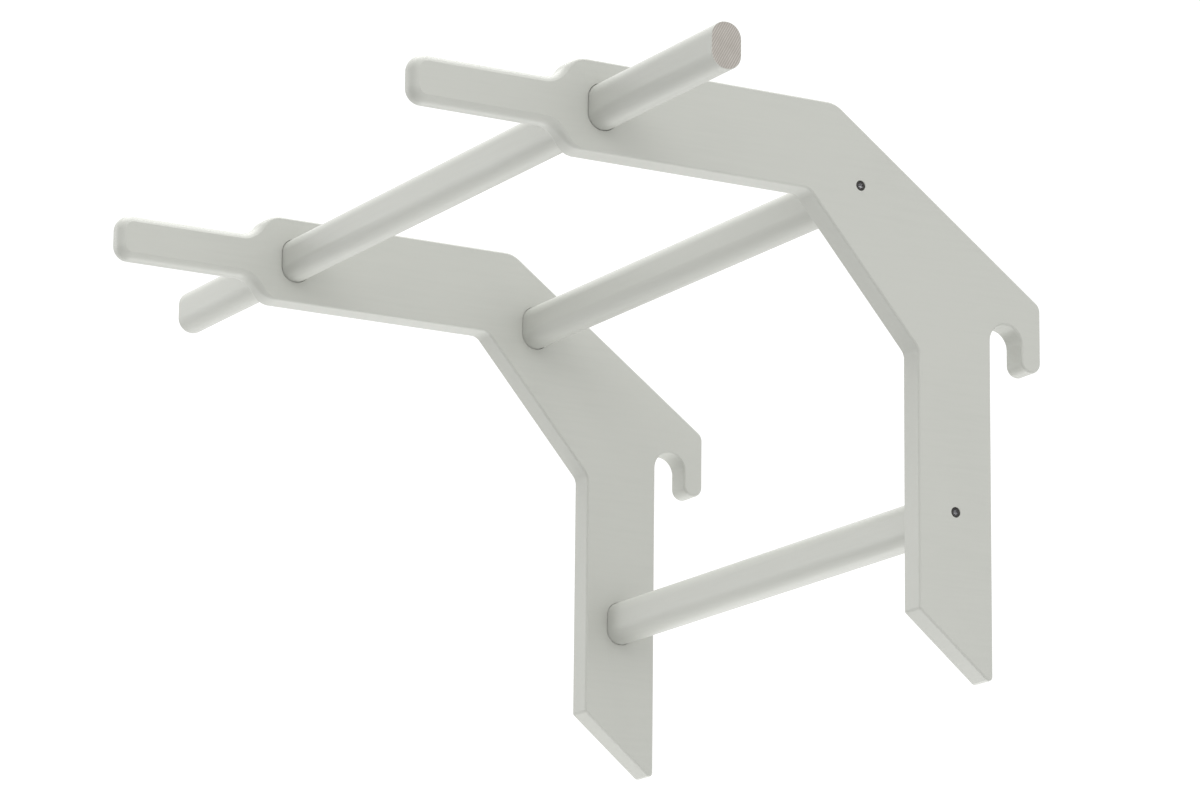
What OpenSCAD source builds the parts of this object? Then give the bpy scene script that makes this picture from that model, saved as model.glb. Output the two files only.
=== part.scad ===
// Hook-on pull-up frame for gymnastic wall bars.
// Two flat side plates carry a long front bar and two stretchers.
// Millimetres. Origin: axis of the hook seats, halfway between the plates.
// +X along the bars, -Y out into the room, +Z up.

/* [Whole frame] */
// width over the two side plates
frame_w = 600; // [450:10:800]
// length of the front bar
bar_len = 1000; // [820:10:1200]
// thickness of a side plate
plate_t = 25; // [22:1:32]

/* [Arm and grip] */
// height of the arm
arm_h = 80; // [72:1:96]
// height of the arm's centre line above the hook seat
arm_rise = 149; // [130:1:180]
// distance from the leg's rear face to the grip's tip
arm_reach = 564; // [520:1:640]
// height of the hand grip
grip_h = 42; // [36:1:48]
// radius on the grip's long edges
grip_edge = 10; // [6:0.5:10.5]
// distance from the leg's rear face to the start of the neck
neck_at = 403; // [402:1:412]
// length of the neck's double curve
neck_len = 38; // [34:1:50]

/* [Shoulder and leg] */
// width of the leg
leg_w = 74; // [66:1:84]
// slope of the shoulder's upper edge, degrees
shoulder_slope = 36; // [34:1:40]
// height of the shoulder's upper edge at the hook's back, above the seat
hook_rise = 37; // [30:1:45]
// slope of the shoulder's inner edge, degrees
inner_slope = 49; // [46:1:52]
// depth of the inner edge's lower end below the seat
knee_drop = 17; // [10:1:30]
// slope of the cut across the foot of the leg, degrees
foot_slope = 39; // [30:1:45]
// depth of the leg's rear corner below the seat
leg_drop = 303; // [260:1:360]
// radius of the outline's outer corners
outer_r = 4; // [3:1:9]
// radius of the bend between arm and shoulder
shoulder_r = 25; // [12:1:40]
// radius of the outline's inner corners
inner_r = 12; // [6:1:20]

/* [Hook] */
// width of the slot that takes a wall-bar rung
slot_w = 32; // [30:0.5:36]
// thickness of the hook's finger
finger_t = 20; // [18:1:26]
// depth of the finger's tip below the seat axis
finger_drop = 23.5; // [22:0.5:40]
// radius of the hook's rear upper corner
hook_r = 10; // [5:1:14]

/* [Bars] */
// depth of the bar stock, front to back
stock_d = 28; // [28:1:30]
// height of the bar stock
stock_h = 40; // [36:1:42]
// radius of the bar stock's corners
stock_r = 13.5; // [8:0.5:13.5]
// gap between a bar and the hole it sits in
bar_gap = 0.4; // [0.2:0.1:0.8]
// depth of the pockets that house the stretchers
pocket_depth = 8; // [5:1:9]
// distance from the leg's rear face to the front bar's axis
bar_back = 386; // [380:1:386]
// distance from the leg's rear face to the upper stretcher's axis
upper_back = 132; // [128:1:136]
// distance of the upper stretcher's axis below the arm's centre line
upper_drop = 30; // [26:1:34]
// distance of the lower stretcher's axis below the hook seat
lower_drop = 156; // [120:1:180]

/* [Fixings] */
// diameter of the bolt heads
head_d = 8.5; // [8:0.5:11]
// height of the bolt heads
head_h = 5; // [5:0.5:6.5]
// width of the hexagon sockets across their flats
hex_af = 4; // [3:0.5:5]
// diameter of the bolt shanks
shank_d = 5; // [4:0.5:6]
// length of the bolts below the head
bolt_len = 25; // [22:1:28]
// outer diameter of the threaded inserts
insert_d = 8; // [8:0.5:11]
// length of the threaded inserts
insert_len = 15; // [13:1:18]
// length of the two screws that lock the front bar
lock_len = 46; // [40:1:50]

/* [Hidden] */
// number of sides of a full circle
fine = 96;
// straight pieces in one rounded corner of an outline
arc_steps = 10;
// overlap that keeps cuts clean
over = 1;
seat_r = slot_w / 2;
leg_back = -seat_r;
leg_front = leg_back - leg_w;
hook_back = seat_r + finger_t;
finger_r = finger_t / 2;
finger_mid = seat_r + finger_r;
arm_top = arm_rise + arm_h / 2;
arm_under = arm_rise - arm_h / 2;
shoulder_y = hook_back - (arm_top - hook_rise) / tan(shoulder_slope);
elbow_y = leg_front - (arm_under + knee_drop) / tan(inner_slope);
foot_front = leg_w * tan(foot_slope) - leg_drop;
// bar positions
bar_y = leg_back - bar_back;
upper_y = leg_back - upper_back;
upper_z = arm_rise - upper_drop;
lower_y = leg_back - leg_w / 2;
lower_z = -lower_drop;
// neck: two equal arcs that turn against each other
tip_y = leg_back - arm_reach;
neck_y = leg_back - neck_at;
neck_end = neck_y - neck_len;
neck_drop = (arm_h - grip_h) / 2;
neck_turn = 2 * atan(neck_drop / neck_len);
neck_r = neck_len / (2 * sin(neck_turn));
// radius of the grip's tip in the side view
tip_r = 14;
// places across the frame
plate_out = frame_w / 2;
plate_in = plate_out - plate_t;
plate_mid = plate_out - plate_t / 2;
pocket_floor = plate_in + pocket_depth;
// bolts: play round the shank and the head, and how far the head lies below the plate's face
shank_play = 0.6;
head_play = 0.6;
head_sunk = 0.4;
bore_d = shank_d + shank_play;
sink_d = head_d + head_play;
sink_depth = head_h + head_sunk;
socket_depth = 3.2;
bolt_seat = plate_out - sink_depth;
// inserts: distance below the stretcher's end, play in its hole, space behind, play round the bolt
insert_gap = 0.5;
insert_wall_gap = 0.1;
insert_space = 3;
insert_hole = insert_len + insert_space;
thread_gap = 0.2;
// screws that lock the front bar
lock_d = 5;
lock_head_d = 10;
lock_head_h = 2.6;
lock_gap = 0.2;
lock_socket = 1.6;
lock_tip = 4;
lock_point_d = 1;
lock_af = 3;
lock_neck = 0.5;
// ratio of a hexagon's corner-to-corner width to its width across the flats
hex_ratio = 1 / cos(30);

// Points of a corner at p, rounded to radius r, between neighbours a and b.
function unit(v) = v / norm(v);
function corner(a, p, b, r) =
    let (u = unit(a - p),
         v = unit(b - p),
         half = acos(u * v) / 2,
         reach = r / tan(half),
         mid = p + unit(u + v) * r / sin(half),
         from = p + u * reach - mid,
         to = p + v * reach - mid,
         swing = 180 - 2 * half,
         side = from[0] * to[1] - from[1] * to[0] > 0 ? 1 : -1)
    [for (i = [0 : arc_steps])
        let (t = side * swing * i / arc_steps)
        mid + [from[0] * cos(t) - from[1] * sin(t),
               from[0] * sin(t) + from[1] * cos(t)]];

// Neck curve from the arm down to the grip; side is 1 above, -1 below.
function neck_curve(side) =
    [for (i = [0 : arc_steps])
        let (t = neck_turn * i / arc_steps)
        [neck_y - neck_r * sin(t),
         arm_rise + side * (arm_h / 2 - neck_r * (1 - cos(t)))]];
function neck_tail(side) =
    [for (i = [1 : arc_steps])
        let (t = neck_turn * (1 - i / arc_steps))
        [neck_end + neck_r * sin(t),
         arm_rise + side * (grip_h / 2 + neck_r * (1 - cos(t)))]];
function flip(list) = [for (i = [len(list) - 1 : -1 : 0]) list[i]];

// Bar section: a rectangle with true round corners, w across and h high.
module rounded(w, h, r) {
    square([w - 2 * r, h], center = true);
    square([w, h - 2 * r], center = true);
    for (x = [-1, 1])
        for (y = [-1, 1])
            translate([x * (w / 2 - r), y * (h / 2 - r)])
                circle(r = r, $fn = fine);
}

// Turns a drawing of the side view so it is extruded along +X from x.
module along_x(x, length) {
    translate([x, 0, 0])
        rotate([90, 0, 90])
            linear_extrude(height = length)
                children();
}

// Side view of arm, shoulder, hook and leg, without the slot's round end.
module plate_outline() {
    arm_start = [neck_y, arm_top];
    shoulder = [shoulder_y, arm_top];
    hook_corner = [hook_back, hook_rise];
    finger_out = [hook_back, -finger_drop + finger_r];
    slot_out = [seat_r, 0];
    slot_in = [leg_back, 0];
    heel = [leg_back, -leg_drop];
    toe = [leg_front, foot_front];
    knee = [leg_front, -knee_drop];
    elbow = [elbow_y, arm_under];
    arm_end = [neck_y, arm_under];
    polygon(concat(
        corner(arm_start, shoulder, hook_corner, shoulder_r),
        corner(shoulder, hook_corner, finger_out, hook_r),
        [finger_out, [seat_r, -finger_drop + finger_r], slot_out, slot_in],
        corner(slot_in, heel, toe, outer_r),
        corner(heel, toe, knee, outer_r),
        corner(toe, knee, elbow, inner_r),
        corner(knee, elbow, arm_end, inner_r),
        neck_curve(-1),
        neck_tail(-1),
        [[neck_end - over, arm_rise - grip_h / 2],
         [neck_end - over, arm_rise + grip_h / 2]],
        flip(neck_tail(1)),
        flip(neck_curve(1))));
}

// Grip: rounded along its edges, and rounded at its tip both ways.
module grip() {
    length = neck_end - tip_y;
    intersection() {
        translate([plate_mid, neck_end, arm_rise])
            rotate([90, 0, 0])
                linear_extrude(height = length)
                    rounded(plate_t, grip_h, grip_edge);
        along_x(plate_in, plate_t)
            union() {
                translate([tip_y + tip_r, arm_rise - grip_h / 2])
                    square([length, grip_h]);
                translate([tip_y, arm_rise - grip_h / 2 + tip_r])
                    square([length, grip_h - 2 * tip_r]);
                for (side = [-1, 1])
                    translate([tip_y + tip_r, arm_rise + side * (grip_h / 2 - tip_r)])
                        circle(r = tip_r, $fn = fine);
            }
        translate([plate_mid, 0, arm_under])
            linear_extrude(height = arm_h)
                union() {
                    translate([-plate_t / 2, tip_y + grip_edge])
                        square([plate_t, length]);
                    translate([grip_edge - plate_t / 2, tip_y])
                        square([plate_t - 2 * grip_edge, length]);
                    for (side = [-1, 1])
                        translate([side * (plate_t / 2 - grip_edge), tip_y + grip_edge])
                            circle(r = grip_edge, $fn = fine);
                }
    }
}

// One side plate in its place on +X, with every hole it needs.
module side_plate() {
    hole_w = stock_d + 2 * bar_gap;
    hole_h = stock_h + 2 * bar_gap;
    hole_r = stock_r + bar_gap;
    difference() {
        union() {
            along_x(plate_in, plate_t)
                plate_outline();
            grip();
            along_x(plate_in, plate_t)
                translate([finger_mid, -finger_drop + finger_r])
                    circle(r = finger_r, $fn = fine);
        }
        along_x(plate_in - over, plate_t + 2 * over)
            circle(r = seat_r, $fn = fine);
        along_x(plate_in - over, plate_t + 2 * over)
            translate([bar_y, arm_rise])
                rounded(hole_w, hole_h, hole_r);
        for (p = [[upper_y, upper_z], [lower_y, lower_z]]) {
            along_x(plate_in - over, pocket_depth + over)
                translate(p)
                    rounded(hole_w, hole_h, hole_r);
            along_x(plate_in, plate_t + over)
                translate(p)
                    circle(d = bore_d, $fn = fine);
            along_x(bolt_seat, sink_depth + over)
                translate(p)
                    circle(d = sink_d, $fn = fine);
        }
        translate([plate_mid, bar_y, arm_rise])
            cylinder(d = lock_d + 2 * lock_gap, h = arm_h, $fn = fine);
        translate([plate_mid, bar_y, arm_top - lock_head_h])
            cylinder(d1 = lock_d + 2 * lock_gap, d2 = lock_head_d + 2 * lock_gap,
                h = lock_head_h, $fn = fine);
    }
}

module side_plate_right() {
    color("#dcdad2")
        side_plate();
}

module side_plate_left() {
    color("#dcdad2")
        mirror([1, 0, 0])
            side_plate();
}

// Straight length of bar stock centred on x = 0.
module stock(length) {
    along_x(-length / 2, length)
        rounded(stock_d, stock_h, stock_r);
}

module front_bar() {
    tip_z = arm_top - lock_len;
    color("#e2e0d8")
        difference() {
            translate([0, bar_y, arm_rise])
                stock(bar_len);
            for (side = [-1, 1])
                translate([side * plate_mid, bar_y, tip_z - lock_gap])
                    cylinder(d = lock_d + lock_gap, h = arm_h, $fn = fine);
        }
}

// Stretcher between the pocket floors, drilled for an insert in each end.
module stretcher(p) {
    difference() {
        translate([0, p[0], p[1]])
            stock(2 * pocket_floor);
        for (side = [0, 1])
            mirror([side, 0, 0])
                along_x(pocket_floor - insert_hole, insert_hole + over)
                    translate(p)
                        circle(d = insert_d + 2 * insert_wall_gap, $fn = fine);
    }
}

module upper_stretcher() {
    color("#e2e0d8")
        stretcher([upper_y, upper_z]);
}

module lower_stretcher() {
    color("#e2e0d8")
        stretcher([lower_y, lower_z]);
}

// Socket-head bolt on +X: head in its counterbore, shank pointing inwards.
module bolt(p) {
    hex_d = hex_af * hex_ratio;
    difference() {
        union() {
            along_x(bolt_seat, head_h)
                translate(p)
                    circle(d = head_d, $fn = fine);
            along_x(bolt_seat - bolt_len, bolt_len + over)
                translate(p)
                    circle(d = shank_d, $fn = fine);
        }
        along_x(bolt_seat + head_h - socket_depth, socket_depth + over)
            translate(p)
                circle(d = hex_d, $fn = 6);
    }
}

module bolt_upper_left() {
    color("#3a3a3c")
        mirror([1, 0, 0])
            bolt([upper_y, upper_z]);
}

module bolt_upper_right() {
    color("#3a3a3c")
        bolt([upper_y, upper_z]);
}

module bolt_lower_left() {
    color("#3a3a3c")
        mirror([1, 0, 0])
            bolt([lower_y, lower_z]);
}

module bolt_lower_right() {
    color("#3a3a3c")
        bolt([lower_y, lower_z]);
}

// Threaded insert in a stretcher's end on +X, just below the end face.
module insert(p) {
    along_x(pocket_floor - insert_gap - insert_len, insert_len)
        translate(p)
            difference() {
                circle(d = insert_d, $fn = fine);
                circle(d = shank_d + 2 * thread_gap, $fn = fine);
            }
}

module insert_upper_left() {
    color("#b8963c")
        mirror([1, 0, 0])
            insert([upper_y, upper_z]);
}

module insert_upper_right() {
    color("#b8963c")
        insert([upper_y, upper_z]);
}

module insert_lower_left() {
    color("#b8963c")
        mirror([1, 0, 0])
            insert([lower_y, lower_z]);
}

module insert_lower_right() {
    color("#b8963c")
        insert([lower_y, lower_z]);
}

// Countersunk screw down through the arm's top edge into the front bar.
module lock_screw() {
    translate([plate_mid, bar_y, 0])
        difference() {
            union() {
                translate([0, 0, arm_top - lock_head_h])
                    cylinder(d1 = lock_d, d2 = lock_head_d, h = lock_head_h, $fn = fine);
                translate([0, 0, arm_top - lock_len + lock_tip])
                    cylinder(d = lock_d, h = lock_len - lock_tip - lock_head_h + lock_neck, $fn = fine);
                translate([0, 0, arm_top - lock_len])
                    cylinder(d1 = lock_point_d, d2 = lock_d, h = lock_tip, $fn = fine);
            }
            translate([0, 0, arm_top - lock_socket])
                cylinder(d = lock_af * hex_ratio, h = lock_socket + over, $fn = 6);
        }
}

module lock_screw_right() {
    color("#8d8d90")
        lock_screw();
}

module lock_screw_left() {
    color("#8d8d90")
        mirror([1, 0, 0])
            lock_screw();
}

side_plate_left();
side_plate_right();
front_bar();
upper_stretcher();
lower_stretcher();
bolt_upper_left();
bolt_upper_right();
bolt_lower_left();
bolt_lower_right();
insert_upper_left();
insert_upper_right();
insert_lower_left();
insert_lower_right();
lock_screw_left();
lock_screw_right();
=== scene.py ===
import math

import bmesh
import bpy
from mathutils import Matrix, Vector
from mathutils.geometry import tessellate_polygon


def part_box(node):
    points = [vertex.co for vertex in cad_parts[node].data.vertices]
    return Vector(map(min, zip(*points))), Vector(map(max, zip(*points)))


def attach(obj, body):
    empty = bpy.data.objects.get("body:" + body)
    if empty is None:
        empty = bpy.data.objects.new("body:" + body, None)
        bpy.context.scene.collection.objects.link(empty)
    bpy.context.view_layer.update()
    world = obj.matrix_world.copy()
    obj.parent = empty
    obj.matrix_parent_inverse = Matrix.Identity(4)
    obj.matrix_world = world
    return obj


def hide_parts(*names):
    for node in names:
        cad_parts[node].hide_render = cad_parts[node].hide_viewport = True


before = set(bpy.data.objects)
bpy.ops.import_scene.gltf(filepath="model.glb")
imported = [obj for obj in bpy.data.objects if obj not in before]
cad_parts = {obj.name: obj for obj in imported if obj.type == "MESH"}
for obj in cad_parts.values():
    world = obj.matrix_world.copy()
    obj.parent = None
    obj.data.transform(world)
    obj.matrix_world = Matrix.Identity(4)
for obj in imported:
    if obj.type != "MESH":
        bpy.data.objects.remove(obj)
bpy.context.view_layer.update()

MM = 0.001

# ---------------------------------------------------------------- sizes (metres)
lo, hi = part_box("side_plate_right")
PLATE_IN, PLATE_OUT = lo[0], hi[0]
PLATE_T = PLATE_OUT - PLATE_IN
PLATE_MID = (PLATE_IN + PLATE_OUT) / 2
TIP_Y, HOOK_BACK = lo[1], hi[1]
ARM_TOP = hi[2]

bar_lo, bar_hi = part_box("front_bar")
up_lo, up_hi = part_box("upper_stretcher")
low_lo, low_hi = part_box("lower_stretcher")
bolt_lo, bolt_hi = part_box("bolt_upper_right")
lock_lo, lock_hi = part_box("lock_screw_right")

STOCK_D = bar_hi[1] - bar_lo[1]
STOCK_H = bar_hi[2] - bar_lo[2]
STOCK_R = 13.5 * MM
BAR_YZ = ((bar_lo[1] + bar_hi[1]) / 2, (bar_lo[2] + bar_hi[2]) / 2)
UPPER_YZ = ((up_lo[1] + up_hi[1]) / 2, (up_lo[2] + up_hi[2]) / 2)
LOWER_YZ = ((low_lo[1] + low_hi[1]) / 2, (low_lo[2] + low_hi[2]) / 2)
POCKET_FLOOR = up_hi[0]
BOLT_FACE = bolt_hi[0]
HEAD_D = bolt_hi[1] - bolt_lo[1]
LOCK_HEAD_D = lock_hi[0] - lock_lo[0]

ARM_H = 80 * MM
ARM_RISE = ARM_TOP - ARM_H / 2
ARM_UNDER = ARM_TOP - ARM_H
GRIP_H = 42 * MM
GRIP_EDGE = 10 * MM
TIP_R = 14 * MM
SEAT_R = 16 * MM
LEG_BACK = -SEAT_R
LEG_FRONT = LEG_BACK - 74 * MM
FINGER_DROP = 23.5 * MM
FINGER_R = 10 * MM
HOOK_RISE = 37 * MM
HOOK_R = 10 * MM
SHOULDER_R = 25 * MM
OUTER_R = 4 * MM
INNER_R = 12 * MM
LEG_DROP = 303 * MM
KNEE_DROP = 17 * MM
NECK_Y = LEG_BACK - 403 * MM
NECK_LEN = 38 * MM
SHOULDER_SLOPE = math.radians(36)
INNER_SLOPE = math.radians(49)
FOOT_SLOPE = math.radians(39)
BAR_GAP = 0.4 * MM

HEAD_H = 5 * MM            # bolts, and the play round them
HEAD_PLAY = 0.6 * MM
HEAD_SUNK = 0.4 * MM
HEAD_EDGE = 0.6 * MM
SHANK_D = 5 * MM
SHANK_PLAY = 0.6 * MM
HEX_AF = 4 * MM
SOCKET_DEPTH = 3.2 * MM
LOCK_PLAY = 0.4 * MM       # the lock screw's recess
LOCK_NECK_D = 5.4 * MM
LOCK_CONE = 2.6 * MM
LOCK_BORE = 2 * MM

PLATE_EDGE = 2.6 * MM      # round-over on the plate's long edges
GRIP_STEP = 2.0 * MM       # how much each face of the grip lies below the plate's face
STEP_LEN = 34 * MM         # length of the hollow slope down to the grip's face
HOLE_EDGE = 0.25 * MM      # softened rim of the holes
EDGE_START = math.radians(20)   # the round-over meets the face at this angle, as a faint line
RECESS_HALF = 8 * MM       # half the length of arm edge set aside for the lock screw's recess
ARC = 14                   # points in a rounded corner of the outline
ROUND = 6                  # rings in a round-over
COLUMNS = 8                # strips across the grip's face


# ---------------------------------------------------------------- mesh helpers
def unit(v):
    length = math.hypot(v[0], v[1])
    return (v[0] / length, v[1] / length)


def corner(a, p, b, r, steps=ARC):
    """Points of the corner at p, rounded to radius r, on the way from a to b."""
    u = unit((a[0] - p[0], a[1] - p[1]))
    v = unit((b[0] - p[0], b[1] - p[1]))
    half = math.acos(max(-1, min(1, u[0] * v[0] + u[1] * v[1]))) / 2
    reach = r / math.tan(half)
    w = unit((u[0] + v[0], u[1] + v[1]))
    mid = (p[0] + w[0] * r / math.sin(half), p[1] + w[1] * r / math.sin(half))
    f = (p[0] + u[0] * reach - mid[0], p[1] + u[1] * reach - mid[1])
    t = (p[0] + v[0] * reach - mid[0], p[1] + v[1] * reach - mid[1])
    side = 1 if f[0] * t[1] - f[1] * t[0] > 0 else -1
    out = []
    for i in range(steps + 1):
        s = side * (math.pi - 2 * half) * i / steps
        out.append((mid[0] + f[0] * math.cos(s) - f[1] * math.sin(s),
                    mid[1] + f[0] * math.sin(s) + f[1] * math.cos(s)))
    return out


def span(a, b, n):
    """n points strictly between a and b."""
    return [(a[0] + (b[0] - a[0]) * i / (n + 1), a[1] + (b[1] - a[1]) * i / (n + 1))
            for i in range(1, n + 1)]


def arc(centre, r, start, end, steps):
    """Points on a circle, angles in degrees, ends included."""
    return [(centre[0] + r * math.cos(math.radians(start + (end - start) * i / steps)),
             centre[1] + r * math.sin(math.radians(start + (end - start) * i / steps)))
            for i in range(steps + 1)]


def section(centre, d, h, r, steps=12):
    """Bar section as a closed list of points, counter-clockwise."""
    cy, cz = centre
    out = []
    for sy, sz, a0 in ((1, 1, 0), (-1, 1, 90), (-1, -1, 180), (1, -1, 270)):
        out += arc((cy + sy * (d / 2 - r), cz + sz * (h / 2 - r)), r, a0, a0 + 90, steps)
    return out


def circle(centre, d, steps=48):
    return [(centre[0] + d / 2 * math.cos(2 * math.pi * i / steps),
             centre[1] + d / 2 * math.sin(2 * math.pi * i / steps)) for i in range(steps)]


def smooth(t):
    t = max(0.0, min(1.0, t))
    return t * t * (3 - 2 * t)


def flatten_faces(obj):
    """Shades large faces flat and lets the round-overs carry the bend."""
    keep = obj.modifiers.new("normals", "WEIGHTED_NORMAL")
    keep.keep_sharp = True
    keep.weight = 80


class Builder:
    """Collects points and faces, then makes an object with its sharp edges kept."""

    def __init__(self):
        self.points, self.faces, self.slots, self.seen = [], [], [], {}
        self.lines = set()

    def point(self, x, y, z):
        key = (round(x, 7), round(y, 7), round(z, 7))
        if key not in self.seen:
            self.seen[key] = len(self.points)
            self.points.append((x, y, z))
        return self.seen[key]

    def face(self, ids, slot=0):
        ring = [v for i, v in enumerate(ids) if v != ids[i - 1]]
        if len(set(ring)) >= 3:
            self.faces.append(ring)
            self.slots.append(slot)

    def strip(self, a, b, slot=0):
        """Quads between two closed rings of the same length."""
        n = len(a)
        for i in range(n):
            j = (i + 1) % n
            self.face([a[i], a[j], b[j], b[i]], slot)

    def plane(self, loops, x, slot=0):
        """Fills a flat region at x: the first loop is its rim, the others are holes."""
        flat = [[Vector((y, z, 0)) for y, z in loop] for loop in loops]
        ids = [self.point(x, y, z) for loop in loops for y, z in loop]
        for tri in tessellate_polygon(flat):
            self.face([ids[i] for i in tri], slot)

    def ring(self, loop, x):
        return [self.point(x, y, z) for y, z in loop]

    def line(self, ids):
        """Keeps the edges of a closed ring sharp."""
        self.lines |= {tuple(sorted((a, ids[i - 1]))) for i, a in enumerate(ids)}

    def level(self, loops, z):
        """Fills a flat region at height z from loops of (x, y)."""
        flat = [[Vector((x, y, 0)) for x, y in loop] for loop in loops]
        ids = [self.point(x, y, z) for loop in loops for x, y in loop]
        for tri in tessellate_polygon(flat):
            self.face([ids[i] for i in tri])

    def make(self, name, materials, sharp=32):
        mesh = bpy.data.meshes.new(name)
        mesh.from_pydata(self.points, [], self.faces)
        for m in materials:
            mesh.materials.append(m)
        for poly, slot in zip(mesh.polygons, self.slots):
            poly.material_index = slot
            poly.use_smooth = True
        mesh.validate()
        bm = bmesh.new()
        bm.from_mesh(mesh)
        bmesh.ops.recalc_face_normals(bm, faces=bm.faces)
        bm.to_mesh(mesh)
        bm.free()
        mesh.set_sharp_from_angle(angle=math.radians(sharp))
        for edge in mesh.edges:
            if tuple(sorted(edge.vertices)) in self.lines:
                edge.use_edge_sharp = True
        obj = bpy.data.objects.new(name, mesh)
        bpy.context.scene.collection.objects.link(obj)
        flatten_faces(obj)
        return obj


# ---------------------------------------------------------------- side plates
def neck_chain(side):
    """Outline from the grip's tip corner back to the arm; side is 1 above, -1 below."""
    tip_edge = ARM_RISE + side * (GRIP_H / 2 - TIP_R)
    chain = arc((TIP_Y + TIP_R, tip_edge), TIP_R, 180, 180 - side * 90, ARC)
    drop = (ARM_H - GRIP_H) / 2
    turn = 2 * math.atan(drop / NECK_LEN)
    r = NECK_LEN / (2 * math.sin(turn))
    end = NECK_Y - NECK_LEN
    grip_z = ARM_RISE + side * GRIP_H / 2
    chain += span((TIP_Y + TIP_R, grip_z), (end, grip_z), 16)
    for i in range(0, ARC + 1):
        t = turn * i / ARC
        chain.append((end + r * math.sin(t), ARM_RISE + side * (GRIP_H / 2 + r * (1 - math.cos(t)))))
    for i in range(1, ARC + 1):
        t = turn * (1 - i / ARC)
        chain.append((NECK_Y - r * math.sin(t), ARM_RISE + side * (ARM_H / 2 - r * (1 - math.cos(t)))))
    return chain


def edge_radius(y):
    """Round-over radius: large on the grip, small on the plate."""
    t = smooth((NECK_Y - y) / (NECK_LEN * 0.9))
    return PLATE_EDGE + (GRIP_EDGE - PLATE_EDGE) * t


def face_step(y):
    """How far the face lies below the plate's face."""
    t = max(0.0, min(1.0, (NECK_Y - y) / STEP_LEN))
    return GRIP_STEP * (1 - (1 - t) ** 2)


def plate_outline():
    """(points, number on the tip's straight edge, chain length), from the tip's lower corner clockwise."""
    top, bottom = neck_chain(1), neck_chain(-1)
    join_top, join_low = top[-1], bottom[-1]
    tip = [bottom[0]] + span(bottom[0], top[0], COLUMNS - 1) + [top[0]]
    shoulder = (HOOK_BACK - (ARM_TOP - HOOK_RISE) / math.tan(SHOULDER_SLOPE), ARM_TOP)
    hook = (HOOK_BACK, HOOK_RISE)
    finger = (HOOK_BACK, -FINGER_DROP + FINGER_R)
    heel = (LEG_BACK, -LEG_DROP)
    toe = (LEG_FRONT, (LEG_BACK - LEG_FRONT) * math.tan(FOOT_SLOPE) - LEG_DROP)
    knee = (LEG_FRONT, -KNEE_DROP)
    elbow = (LEG_FRONT - (ARM_UNDER + KNEE_DROP) / math.tan(INNER_SLOPE), ARM_UNDER)
    body = [(BAR_YZ[0] - RECESS_HALF, ARM_TOP), (BAR_YZ[0] + RECESS_HALF, ARM_TOP)]
    body += corner(join_top, shoulder, hook, SHOULDER_R)
    body += corner(shoulder, hook, finger, HOOK_R)
    body += arc(((HOOK_BACK + SEAT_R) / 2, finger[1]), FINGER_R, 0, -180, 2 * ARC)
    body += arc((0, 0), SEAT_R, 0, 180, 2 * ARC)
    body += corner((LEG_BACK, 0), heel, toe, OUTER_R)
    body += corner(heel, toe, knee, OUTER_R)
    body += corner(toe, knee, elbow, INNER_R)
    body += corner(knee, elbow, join_low, INNER_R)
    full = tip + top[1:] + body + bottom[::-1][:-1]
    return full, len(tip), len(top)


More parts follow.
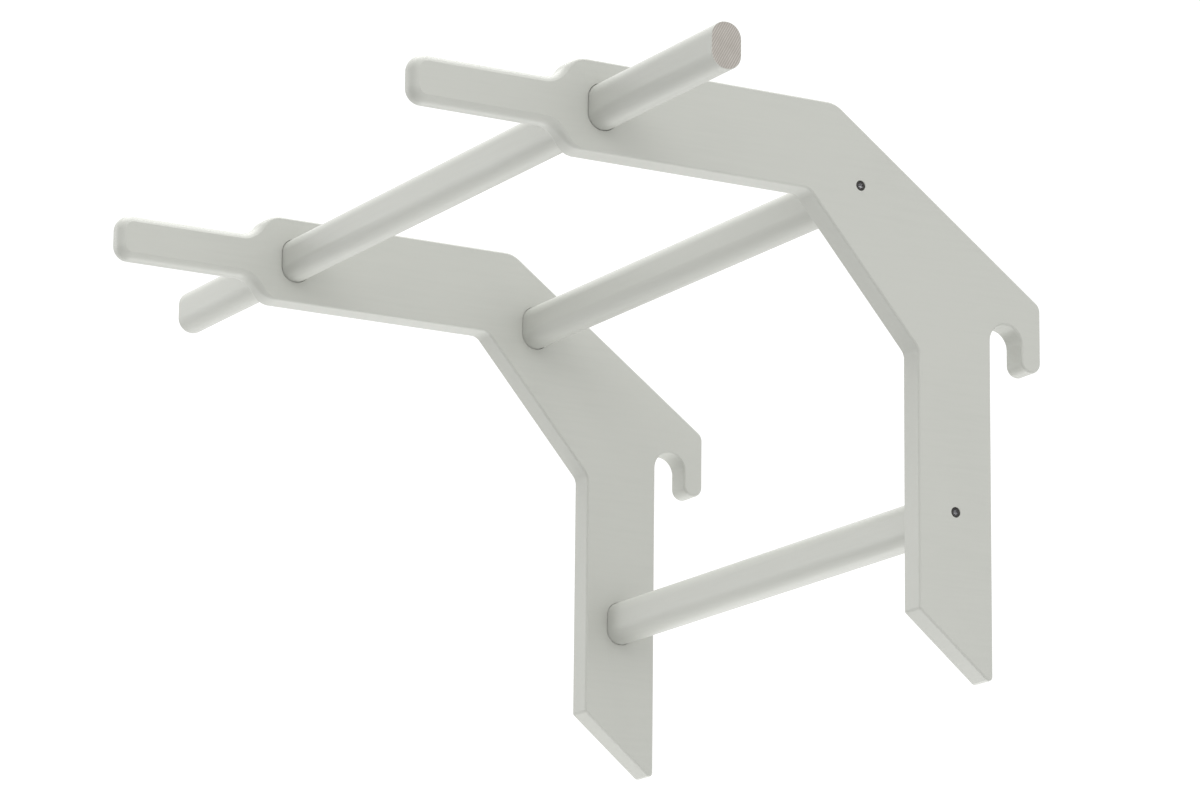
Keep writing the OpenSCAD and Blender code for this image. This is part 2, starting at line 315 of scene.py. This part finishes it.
def build_plate(materials):
    outline, n_tip, n_top = plate_outline()
    n = len(outline)
    normals = []
    for i, p in enumerate(outline):
        q = next(outline[(i - k) % n] for k in range(1, 4)
                 if math.dist(outline[(i - k) % n], p) > 1e-6)
        s = next(outline[(i + k) % n] for k in range(1, 4)
                 if math.dist(outline[(i + k) % n], p) > 1e-6)
        u, v = unit((p[0] - q[0], p[1] - q[1])), unit((s[0] - p[0], s[1] - p[1]))
        t = unit((u[0] + v[0], u[1] + v[1]))
        normals.append((-t[1], t[0]))
    # the tip's straight edge faces the room; its two end points belong to the corner arcs
    for i in range(n_tip):
        normals[i] = (-1.0, 0.0)

    def ring(k, side):
        """Ring k of the round-over (0 on the face, ROUND on the edge); side 1 outer face, -1 inner."""
        a = EDGE_START + (math.pi / 2 - EDGE_START) * k / ROUND
        pts = []
        for (y, z), (ny, nz) in zip(outline, normals):
            r = edge_radius(y)
            inset = r * (1 - math.sin(a))
            py, pz = y - ny * inset, z - nz * inset
            x = PLATE_T / 2 - face_step(py) - r * (math.cos(EDGE_START) - math.cos(a))
            pts.append((PLATE_MID + side * x, py, pz))
        return pts

    b = Builder()
    rings = {}
    for side in (1, -1):
        rings[side] = [[b.point(*p) for p in ring(k, side)] for k in range(ROUND + 1)]
        b.line(rings[side][0])
        for k in range(ROUND):
            b.strip(rings[side][k], rings[side][k + 1])
    near_ring, far_ring = rings[1][ROUND], rings[-1][ROUND]
    recess = n_tip - 1 + n_top
    for i in range(n):
        j = (i + 1) % n
        if i != recess:
            b.face([near_ring[i], near_ring[j], far_ring[j], far_ring[i]])

    # blind countersink in the arm's top edge for the lock screw's head
    def round_hole(d):
        return circle((PLATE_MID, BAR_YZ[0]), d)

    patch = [b.points[v][:2] for v in (near_ring[recess], near_ring[recess + 1],
                                       far_ring[recess + 1], far_ring[recess])]
    mouth_d, neck_z = LOCK_HEAD_D + LOCK_PLAY, ARM_TOP - LOCK_CONE
    b.level([patch, round_hole(mouth_d)], ARM_TOP)
    levels = [(mouth_d, ARM_TOP), (LOCK_NECK_D, neck_z), (LOCK_NECK_D, neck_z - LOCK_BORE)]
    hoops = [[b.point(x, y, z) for x, y in round_hole(d)] for d, z in levels]
    for upper, lower in zip(hoops, hoops[1:]):
        b.strip(upper, lower)
    b.face(hoops[-1])

    hole = section(BAR_YZ, STOCK_D + 2 * BAR_GAP, STOCK_H + 2 * BAR_GAP, STOCK_R + BAR_GAP)
    hole_rim = section(BAR_YZ, STOCK_D + 2 * (BAR_GAP + HOLE_EDGE), STOCK_H + 2 * (BAR_GAP + HOLE_EDGE),
                       STOCK_R + BAR_GAP + HOLE_EDGE)
    sink_d, bore_d = HEAD_D + HEAD_PLAY, SHANK_D + SHANK_PLAY
    sink_floor = PLATE_OUT - HEAD_H - HEAD_SUNK
    places = (UPPER_YZ, LOWER_YZ)

    for side, x_face in ((1, PLATE_OUT), (-1, PLATE_IN)):
        inner = ring(0, side)
        ids = rings[side][0]
        # grip and neck: strips between matching points of the lower and upper chains
        columns = []
        top_index = [n_tip - 1 + j for j in range(n_top)]
        low_index = [0] + [n - j for j in range(1, n_top)]
        for j, (ti, li) in enumerate(zip(top_index, low_index)):
            if j == 0:
                columns.append(ids[:n_tip])
                continue
            (_, ty, tz), (_, ly, lz) = inner[ti], inner[li]
            col = [ids[li]]
            for m in range(1, COLUMNS):
                y = ly + (ty - ly) * m / COLUMNS
                z = lz + (tz - lz) * m / COLUMNS
                x = PLATE_MID + side * (PLATE_T / 2 - face_step(y))
                col.append(b.point(x, y, z))
            col.append(ids[ti])
            columns.append(col)
        for left, right in zip(columns, columns[1:]):
            for m in range(COLUMNS):
                b.face([left[m], right[m], right[m + 1], left[m + 1]])
        # arm, shoulder, hook and leg: one flat face with its holes
        first, last = top_index[-1], low_index[-1]
        rim = [(inner[i][1], inner[i][2]) for i in range(first, last + 1)]
        seam = columns[-1][1:-1]
        rim += [(b.points[v][1], b.points[v][2]) for v in seam]
        if side == 1:
            sinks = [circle(p, sink_d + 2 * HOLE_EDGE) for p in places]
            b.plane([rim, hole_rim] + sinks, x_face)
            b.strip(b.ring(hole_rim, x_face), b.ring(hole, x_face - HOLE_EDGE))
            for p, wide in zip(places, sinks):
                wall, bore = circle(p, sink_d), circle(p, bore_d)
                b.strip(b.ring(wide, x_face), b.ring(wall, x_face - HOLE_EDGE))
                b.strip(b.ring(wall, x_face - HOLE_EDGE), b.ring(wall, sink_floor))
                b.strip(b.ring(wall, sink_floor), b.ring(bore, sink_floor))
                b.strip(b.ring(bore, sink_floor), b.ring(bore, POCKET_FLOOR))
        else:
            pockets = [section(p, STOCK_D + 2 * BAR_GAP, STOCK_H + 2 * BAR_GAP, STOCK_R + BAR_GAP)
                       for p in places]
            b.plane([rim, hole_rim] + pockets, x_face)
            b.strip(b.ring(hole_rim, x_face), b.ring(hole, x_face + HOLE_EDGE))
            for p, pocket in zip(places, pockets):
                b.strip(b.ring(pocket, x_face), b.ring(pocket, POCKET_FLOOR))
                b.plane([pocket, circle(p, bore_d)], POCKET_FLOOR)
    b.strip(b.ring(hole, PLATE_OUT - HOLE_EDGE), b.ring(hole, PLATE_IN + HOLE_EDGE))
    return b.make("plate_right_skin", materials)


def mirrored(obj, name):
    mesh = obj.data.copy()
    mesh.transform(Matrix.Scale(-1, 4, (1, 0, 0)))
    mesh.flip_normals()
    twin = bpy.data.objects.new(name, mesh)
    bpy.context.scene.collection.objects.link(twin)
    flatten_faces(twin)
    return twin


# ---------------------------------------------------------------- bars and bolts
def build_bar(name, centre, half, materials, edge):
    b = Builder()
    n_round = 4
    loops = []
    for k in range(n_round + 1):
        a = math.pi / 2 * k / n_round
        inset = edge * (1 - math.sin(a))
        loops.append((section(centre, STOCK_D - 2 * inset, STOCK_H - 2 * inset, STOCK_R - inset),
                      half - edge * (1 - math.cos(a))))
    for side in (1, -1):
        loop, x = loops[0]
        b.plane([loop], side * x, 1)
        for (l0, x0), (l1, x1) in zip(loops, loops[1:]):
            b.strip(b.ring(l0, side * x0), b.ring(l1, side * x1), 0)
    loop, x = loops[-1]
    stations = [x * (1 - 2 * i / 24) for i in range(25)]
    for xa, xb in zip(stations, stations[1:]):
        b.strip(b.ring(loop, xa), b.ring(loop, xb), 0)
    return b.make(name, materials, sharp=50)


def build_bolt(name, centre, side, materials):
    """Socket-head bolt: soft-edged head, hexagon socket, shank running inwards."""
    b = Builder()
    steps = 48
    head_r, edge, shank_r = HEAD_D / 2, HEAD_EDGE, SHANK_D / 2
    face, under, end = BOLT_FACE, BOLT_FACE - HEAD_H, bolt_lo[0]

    def ring(r, x):
        return b.ring(circle(centre, 2 * r, steps), side * x)

    def hexagon(af, x):
        pts = []
        for i in range(steps):
            a = 2 * math.pi * i / steps
            local = (a + math.pi / 6) % (math.pi / 3) - math.pi / 6
            r = af / 2 / math.cos(local)
            pts.append((centre[0] + r * math.cos(a), centre[1] + r * math.sin(a)))
        return b.ring(pts, side * x)

    chain = [ring(shank_r * 0.7, end), ring(shank_r, end + 0.9 * MM), ring(shank_r, under),
             ring(head_r - 0.2 * MM, under), ring(head_r, under + 0.2 * MM), ring(head_r, face - edge)]
    for k in range(1, 5):
        a = math.pi / 2 * k / 4
        chain.append(ring(head_r - edge * (1 - math.cos(a)), face - edge * (1 - math.sin(a))))
    chain += [hexagon(HEX_AF + 0.5 * MM, face), hexagon(HEX_AF, face - 0.25 * MM)]
    for r0, r1 in zip(chain, chain[1:]):
        b.strip(r0, r1, 0)
    socket = [hexagon(HEX_AF, face - 0.25 * MM), hexagon(HEX_AF, face - SOCKET_DEPTH)]
    b.strip(socket[0], socket[1], 1)
    b.face(socket[1], 1)
    b.face(chain[0], 0)
    return b.make(name, materials, sharp=40)


# ---------------------------------------------------------------- materials
class Nodes:
    """Short names for adding shader nodes."""

    def __init__(self, name):
        self.material = bpy.data.materials.new(name)
        self.material.use_nodes = True
        self.tree = self.material.node_tree
        self.shader = self.tree.nodes["Principled BSDF"]

    def add(self, kind, **inputs):
        node = self.tree.nodes.new(kind)
        for key, value in inputs.items():
            node.inputs[key.replace("_", " ")].default_value = value
        return node

    def link(self, a, b):
        self.tree.links.new(a, b)

    def ramp(self, source, stops):
        node = self.add("ShaderNodeValToRGB")
        ends = node.color_ramp.elements
        ends[0].position, ends[0].color = stops[0][0], stops[0][1]
        ends[1].position, ends[1].color = stops[-1][0], stops[-1][1]
        for place, colour in stops[1:-1]:
            ends.new(place).color = colour
        self.link(source, node.inputs["Fac"])
        return node.outputs["Color"]

    def noise(self, source, scale, detail=3.0, rough=0.5):
        node = self.add("ShaderNodeTexNoise", Scale=scale, Detail=detail, Roughness=rough)
        self.link(source, node.inputs["Vector"])
        return node.outputs["Fac"]

    def stretched(self, source, scale, turn=(0, 0, 0)):
        node = self.add("ShaderNodeMapping")
        node.inputs["Scale"].default_value = scale
        node.inputs["Rotation"].default_value = turn
        self.link(source, node.inputs["Vector"])
        return node.outputs["Vector"]

    def math(self, operation, a, b):
        node = self.add("ShaderNodeMath")
        node.operation = operation
        for socket, value in zip(node.inputs, (a, b)):
            if isinstance(value, (int, float)):
                socket.default_value = value
            else:
                self.link(value, socket)
        return node.outputs[0]

    def bump(self, height, distance, strength=1.0):
        node = self.add("ShaderNodeBump", Strength=strength, Distance=distance)
        self.link(height, node.inputs["Height"])
        self.link(node.outputs["Normal"], self.shader.inputs["Normal"])


def grey(v, tint=(1, 1, 1)):
    return (v * tint[0], v * tint[1], v * tint[2], 1)


PAINT = (0.985, 1.0, 0.925)


def painted_wood(name, level, along, rough=0.42):
    """Satin grey-white paint; a little of the grain shows, running along one axis."""
    m = Nodes(name)
    place = m.add("ShaderNodeTexCoord").outputs["Object"]
    scale = [90.0, 90.0, 90.0]
    scale[along] = 5.0
    grain = m.noise(m.stretched(place, tuple(scale)), 3.0, 5.0, 0.6)
    cloud = m.noise(place, 9.0, 2.0)
    peel = m.noise(place, 700.0, 2.0)
    tone = m.math("ADD", m.math("MULTIPLY", grain, 0.5), m.math("MULTIPLY", cloud, 0.5))
    colour = m.ramp(tone, [(0.3, grey(level * 0.968, PAINT)), (0.5, grey(level, PAINT)),
                           (0.72, grey(level * 1.018, PAINT))])
    m.link(colour, m.shader.inputs["Base Color"])
    gloss = m.ramp(cloud, [(0.3, grey(rough - 0.04)), (0.7, grey(rough + 0.05))])
    m.link(gloss, m.shader.inputs["Roughness"])
    height = m.math("ADD", m.math("MULTIPLY", grain, 0.7), m.math("MULTIPLY", peel, 0.3))
    m.bump(height, 0.00012, 0.35)
    m.shader.inputs["Specular IOR Level"].default_value = 0.4
    return m.material


def end_grain(name):
    """Bare sawn end: beige-grey with fine slanting lines and pores."""
    m = Nodes(name)
    place = m.add("ShaderNodeTexCoord").outputs["Object"]
    turned = m.stretched(place, (1, 1, 1), (math.radians(-61), 0, 0))
    saw = m.add("ShaderNodeTexWave", Scale=165.0, Distortion=1.2, Detail=3.0)
    saw.inputs["Detail Scale"].default_value = 0.5
    saw.bands_direction = "Z"
    m.link(turned, saw.inputs["Vector"])
    patch = m.noise(place, 90.0, 3.0)
    pores = m.noise(place, 1500.0, 2.0, 0.7)
    lines = m.math("MULTIPLY", saw.outputs["Fac"], m.math("ADD", m.math("MULTIPLY", patch, 0.8), 0.2))
    tone = m.math("ADD", m.math("MULTIPLY", lines, 0.6), m.math("MULTIPLY", pores, 0.4))
    colour = m.ramp(tone, [(0.12, (0.27, 0.25, 0.225, 1)), (0.36, (0.375, 0.35, 0.32, 1)),
                           (0.62, (0.455, 0.43, 0.40, 1))])
    m.link(colour, m.shader.inputs["Base Color"])
    m.bump(tone, 0.0004, 0.6)
    m.shader.inputs["Roughness"].default_value = 0.85
    m.shader.inputs["Specular IOR Level"].default_value = 0.2
    return m.material


def steel(name, dark, light, rough):
    m = Nodes(name)
    place = m.add("ShaderNodeTexCoord").outputs["Object"]
    fine = m.noise(place, 900.0, 3.0)
    colour = m.ramp(fine, [(0.3, dark), (0.7, light)])
    m.link(colour, m.shader.inputs["Base Color"])
    gloss = m.ramp(fine, [(0.3, grey(rough - 0.06)), (0.7, grey(rough + 0.08))])
    m.link(gloss, m.shader.inputs["Roughness"])
    m.shader.inputs["Metallic"].default_value = 1.0
    m.bump(fine, 0.00002, 0.4)
    return m.material


plate_paint = painted_wood("painted_plate", 0.465, 1)
bar_paint = painted_wood("painted_bar", 0.47, 0)
bare_end = end_grain("bare_end_grain")
black_steel = steel("black_steel", (0.035, 0.034, 0.034, 1), (0.075, 0.072, 0.07, 1), 0.36)
socket_steel = steel("socket_steel", (0.30, 0.30, 0.31, 1), (0.5, 0.5, 0.51, 1), 0.25)
zinc = steel("zinc_steel", (0.45, 0.45, 0.46, 1), (0.62, 0.62, 0.63, 1), 0.3)
brass = steel("insert_brass", (0.45, 0.33, 0.12, 1), (0.62, 0.47, 0.2, 1), 0.32)


# ---------------------------------------------------------------- build
right = build_plate([plate_paint])
left = mirrored(right, "plate_left_skin")
BAR_EDGE = 0.5 * MM        # round-over at the bars' ends
new_pieces = [
    (right, "side_plate_right", "painted_wood_plate"),
    (left, "side_plate_left", "painted_wood_plate"),
    (build_bar("front_bar_skin", BAR_YZ, bar_hi[0], [bar_paint, bare_end], BAR_EDGE),
     "front_bar", "painted_wood_bar"),
    (build_bar("upper_stretcher_skin", UPPER_YZ, up_hi[0], [bar_paint, bare_end], BAR_EDGE),
     "upper_stretcher", "painted_wood_bar"),
    (build_bar("lower_stretcher_skin", LOWER_YZ, low_hi[0], [bar_paint, bare_end], BAR_EDGE),
     "lower_stretcher", "painted_wood_bar"),
]
for level, centre in (("upper", UPPER_YZ), ("lower", LOWER_YZ)):
    for hand, side in (("left", -1), ("right", 1)):
        node = "bolt_%s_%s" % (level, hand)
        new_pieces.append((build_bolt(node + "_skin", centre, side, [black_steel, socket_steel]),
                           node, "dark_steel"))
for obj, node, slot in new_pieces:
    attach(obj, "root")
    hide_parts(node)

for name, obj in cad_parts.items():
    skin = zinc if "lock" in name else brass if "insert" in name else None
    if skin:
        obj.data.materials.clear()
        obj.data.materials.append(skin)

# ---------------------------------------------------------------- room
floor_mesh = bpy.data.meshes.new("floor")
FLOOR_Z, FLOOR_HALF = -1.9, 1.8
corners = [(sx * FLOOR_HALF, sy * FLOOR_HALF, FLOOR_Z) for sx, sy in ((-1, -1), (1, -1), (1, 1), (-1, 1))]
floor_mesh.from_pydata(corners, [], [(0, 1, 2, 3)])
floor = bpy.data.objects.new("floor", floor_mesh)
bpy.context.scene.collection.objects.link(floor)
floor_look = Nodes("floor_white")
floor_look.shader.inputs["Base Color"].default_value = (0.85, 0.85, 0.85, 1)
floor_look.shader.inputs["Roughness"].default_value = 0.9
floor_mesh.materials.append(floor_look.material)

# the room is bright all round, and dimmer towards one side, low in front of the frame
ROOM_BRIGHT, ROOM_DIM = 1.12, 0.25
DIM_WAY = (0.0, -0.75, -0.66)
DIM_FROM, DIM_TO = 0.42, 0.95

world = bpy.data.worlds.new("studio")
bpy.context.scene.world = world
world.use_nodes = True
tree = world.node_tree
background = tree.nodes["Background"]
way = tree.nodes.new("ShaderNodeTexCoord").outputs["Generated"]
facing = tree.nodes.new("ShaderNodeVectorMath")
facing.operation = "DOT_PRODUCT"
facing.inputs[1].default_value = DIM_WAY
tree.links.new(way, facing.inputs[0])
dim = tree.nodes.new("ShaderNodeMapRange")
dim.inputs["From Min"].default_value = DIM_FROM
dim.inputs["From Max"].default_value = DIM_TO
dim.inputs["To Min"].default_value = ROOM_BRIGHT
dim.inputs["To Max"].default_value = ROOM_DIM
tree.links.new(facing.outputs["Value"], dim.inputs["Value"])
tree.links.new(dim.outputs["Result"], background.inputs["Strength"])
background.inputs["Color"].default_value = (1, 1, 1, 1)


def area(name, place, aim, size, power):
    """Square soft light of one size in metres and one power in watts, aimed at a point."""
    light = bpy.data.lights.new(name, "AREA")
    light.shape = "SQUARE"
    light.size = size
    light.energy = power
    obj = bpy.data.objects.new(name, light)
    obj.location = place
    obj.rotation_euler = (Vector(aim) - Vector(place)).to_track_quat("-Z", "Y").to_euler()
    bpy.context.scene.collection.objects.link(obj)


area("overhead", (-0.6, -0.4, 3.4), (-0.3, -0.2, -1.9), 3.0, 103)
area("front_right", (2.8, -1.8, 1.5), (0, -0.2, 0), 1.4, 17)
area("front_left", (-1.4, -1.6, 0.2), (-0.2, -0.2, 0), 1.0, 7)
area("below", (-0.9, 0.3, -1.75), (-0.1, -0.1, 0), 1.2, 19)

# ---------------------------------------------------------------- camera
AZIMUTH = math.radians(60.538)
ELEVATION = math.radians(-13.702)
ROLL = math.radians(0.567)
CAMERA_AT = Vector((3.9913, -2.4875, -1.1340))
back = Vector((math.sin(AZIMUTH) * math.cos(ELEVATION), -math.cos(AZIMUTH) * math.cos(ELEVATION),
               math.sin(ELEVATION)))
side_way = (-back).cross(Vector((0, 0, 1))).normalized()
up_way = side_way.cross(-back)
right_way = side_way * math.cos(ROLL) + up_way * math.sin(ROLL)
up_way = right_way.cross(-back)
camera_data = bpy.data.cameras.new("camera")
camera_data.sensor_width = 36
camera_data.lens = 159.13
camera_data.clip_end = 50
camera = bpy.data.objects.new("camera", camera_data)
camera.matrix_world = Matrix.Translation(CAMERA_AT) @ Matrix(
    (right_way, up_way, back)).transposed().to_4x4()
bpy.context.scene.collection.objects.link(camera)
bpy.context.scene.camera = camera

scene = bpy.context.scene
scene.view_settings.view_transform = "Standard"
scene.view_settings.look = "None"
